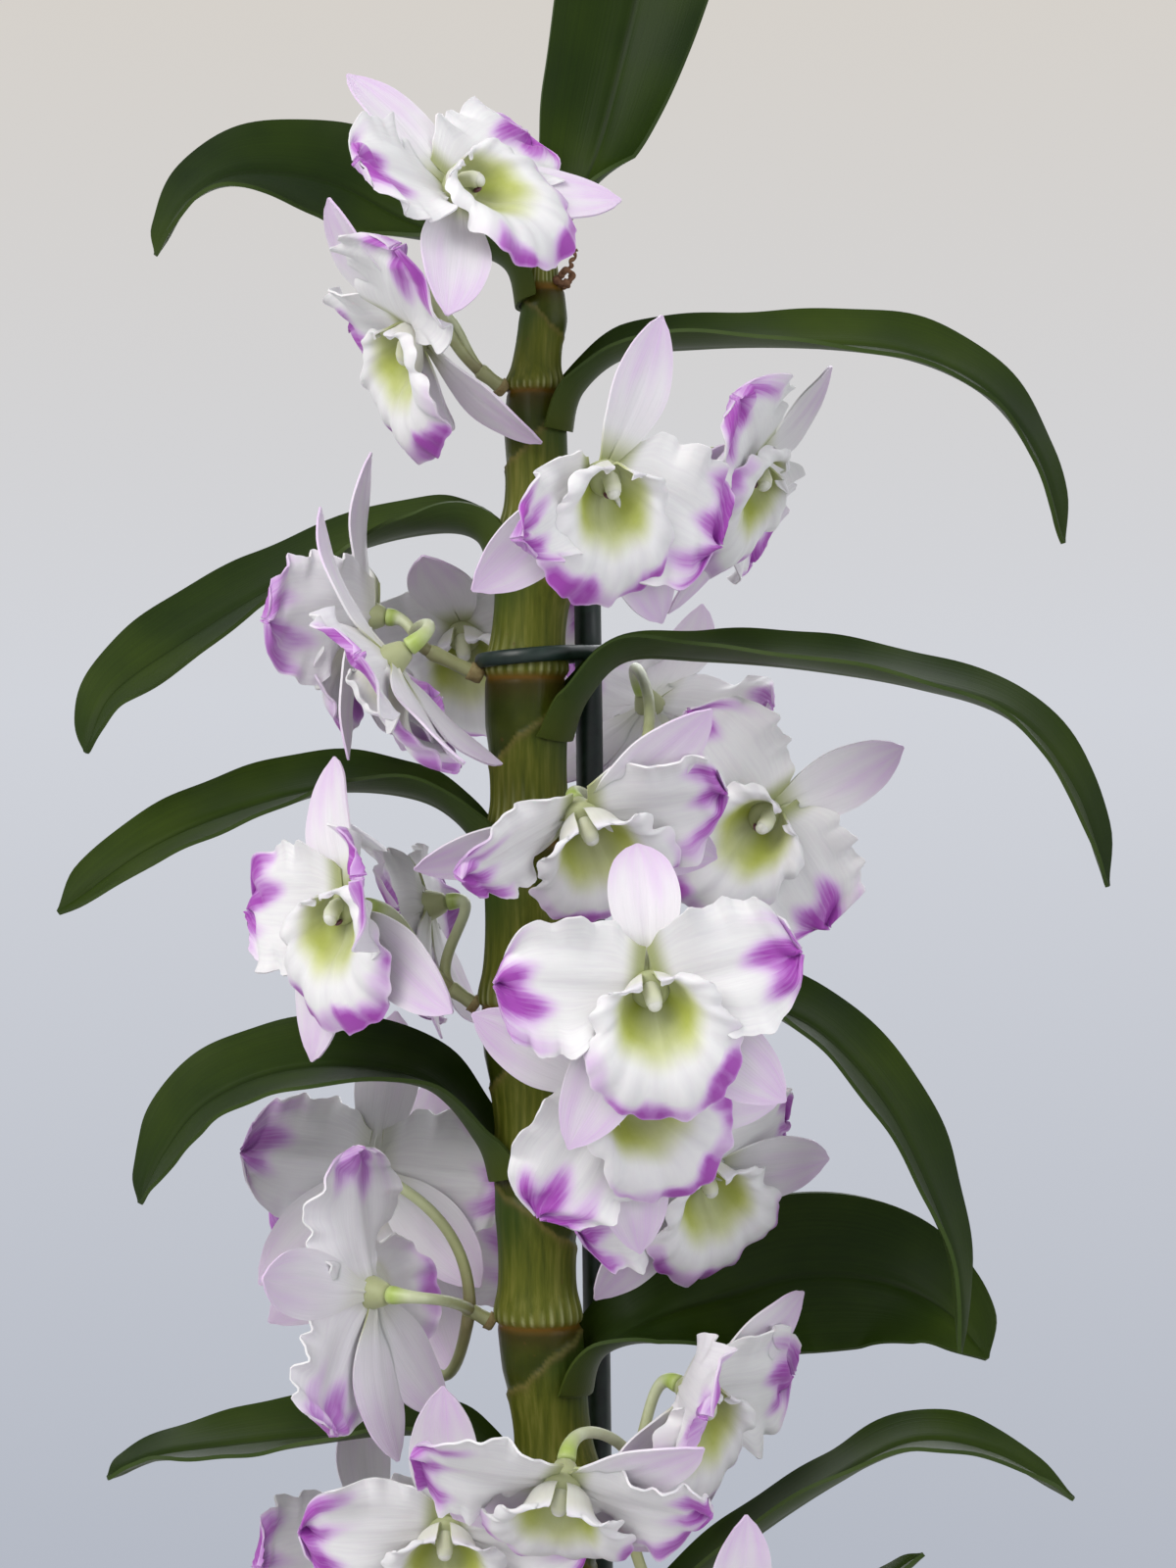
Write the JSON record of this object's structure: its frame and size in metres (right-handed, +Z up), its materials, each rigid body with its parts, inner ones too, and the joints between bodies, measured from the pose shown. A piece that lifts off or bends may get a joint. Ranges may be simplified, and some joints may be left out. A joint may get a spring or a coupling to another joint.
{
  "type": "dendrobium orchid",
  "caption": "Potted dendrobium orchid in bloom: an upright leafy cane tied to a stake, with flower stalks of white, lilac-edged blooms along its length.",
  "frame": {"origin": "centre of the pot's flat base, on the surface it stands on", "axes": "+Z up along the cane, -Y toward the viewer of the picture, +X to the viewer's right"},
  "size_m": [0.2373, 0.1374, 0.6416],
  "materials": {
    "pot": "matte terracotta-coloured",
    "bark": "rough potting bark",
    "cane": "green cane with pale, ribbed sheaths",
    "stake": "near-black green plastic",
    "leaf": "leathery dark green, soft gloss",
    "stalk": "pale green living stalk",
    "petal": "soft white with lilac edges and a yellow-green throat"
  },
  "bodies": {
    "root": {"pot": "pot", "bark": "bark", "cane": "cane", "stake": "stake", "tie": "stake", "leaf_01": "leaf", "leaf_02": "leaf", "leaf_03": "leaf", "leaf_04": "leaf", "leaf_05": "leaf", "leaf_06": "leaf", "leaf_07": "leaf", "leaf_08": "leaf", "leaf_09": "leaf", "leaf_10": "leaf", "leaf_11": "leaf", "leaf_12": "leaf", "leaf_13": "leaf", "bloom_01a": "petal", "bloom_01b": "petal", "bloom_02a": "petal", "bloom_02b": "petal", "bloom_03a": "petal", "bloom_03b": "petal", "bloom_04a": "petal", "bloom_04b": "petal", "bloom_04c": "petal", "bloom_05a": "petal", "bloom_05b": "petal", "bloom_06a": "petal", "bloom_06b": "petal", "bloom_06c": "petal", "bloom_07a": "petal", "bloom_07b": "petal", "bloom_07c": "petal", "bloom_08a": "petal", "bloom_08b": "petal", "bloom_08c": "petal", "bloom_09a": "petal", "bloom_09b": "petal", "bloom_10a": "petal", "stalk_01": "stalk", "stalk_02": "stalk", "stalk_03": "stalk", "stalk_04": "stalk", "stalk_05": "stalk", "stalk_06": "stalk", "stalk_07": "stalk", "stalk_08": "stalk", "stalk_09": "stalk", "stalk_10": "stalk"}
  },
  "joints": []
}
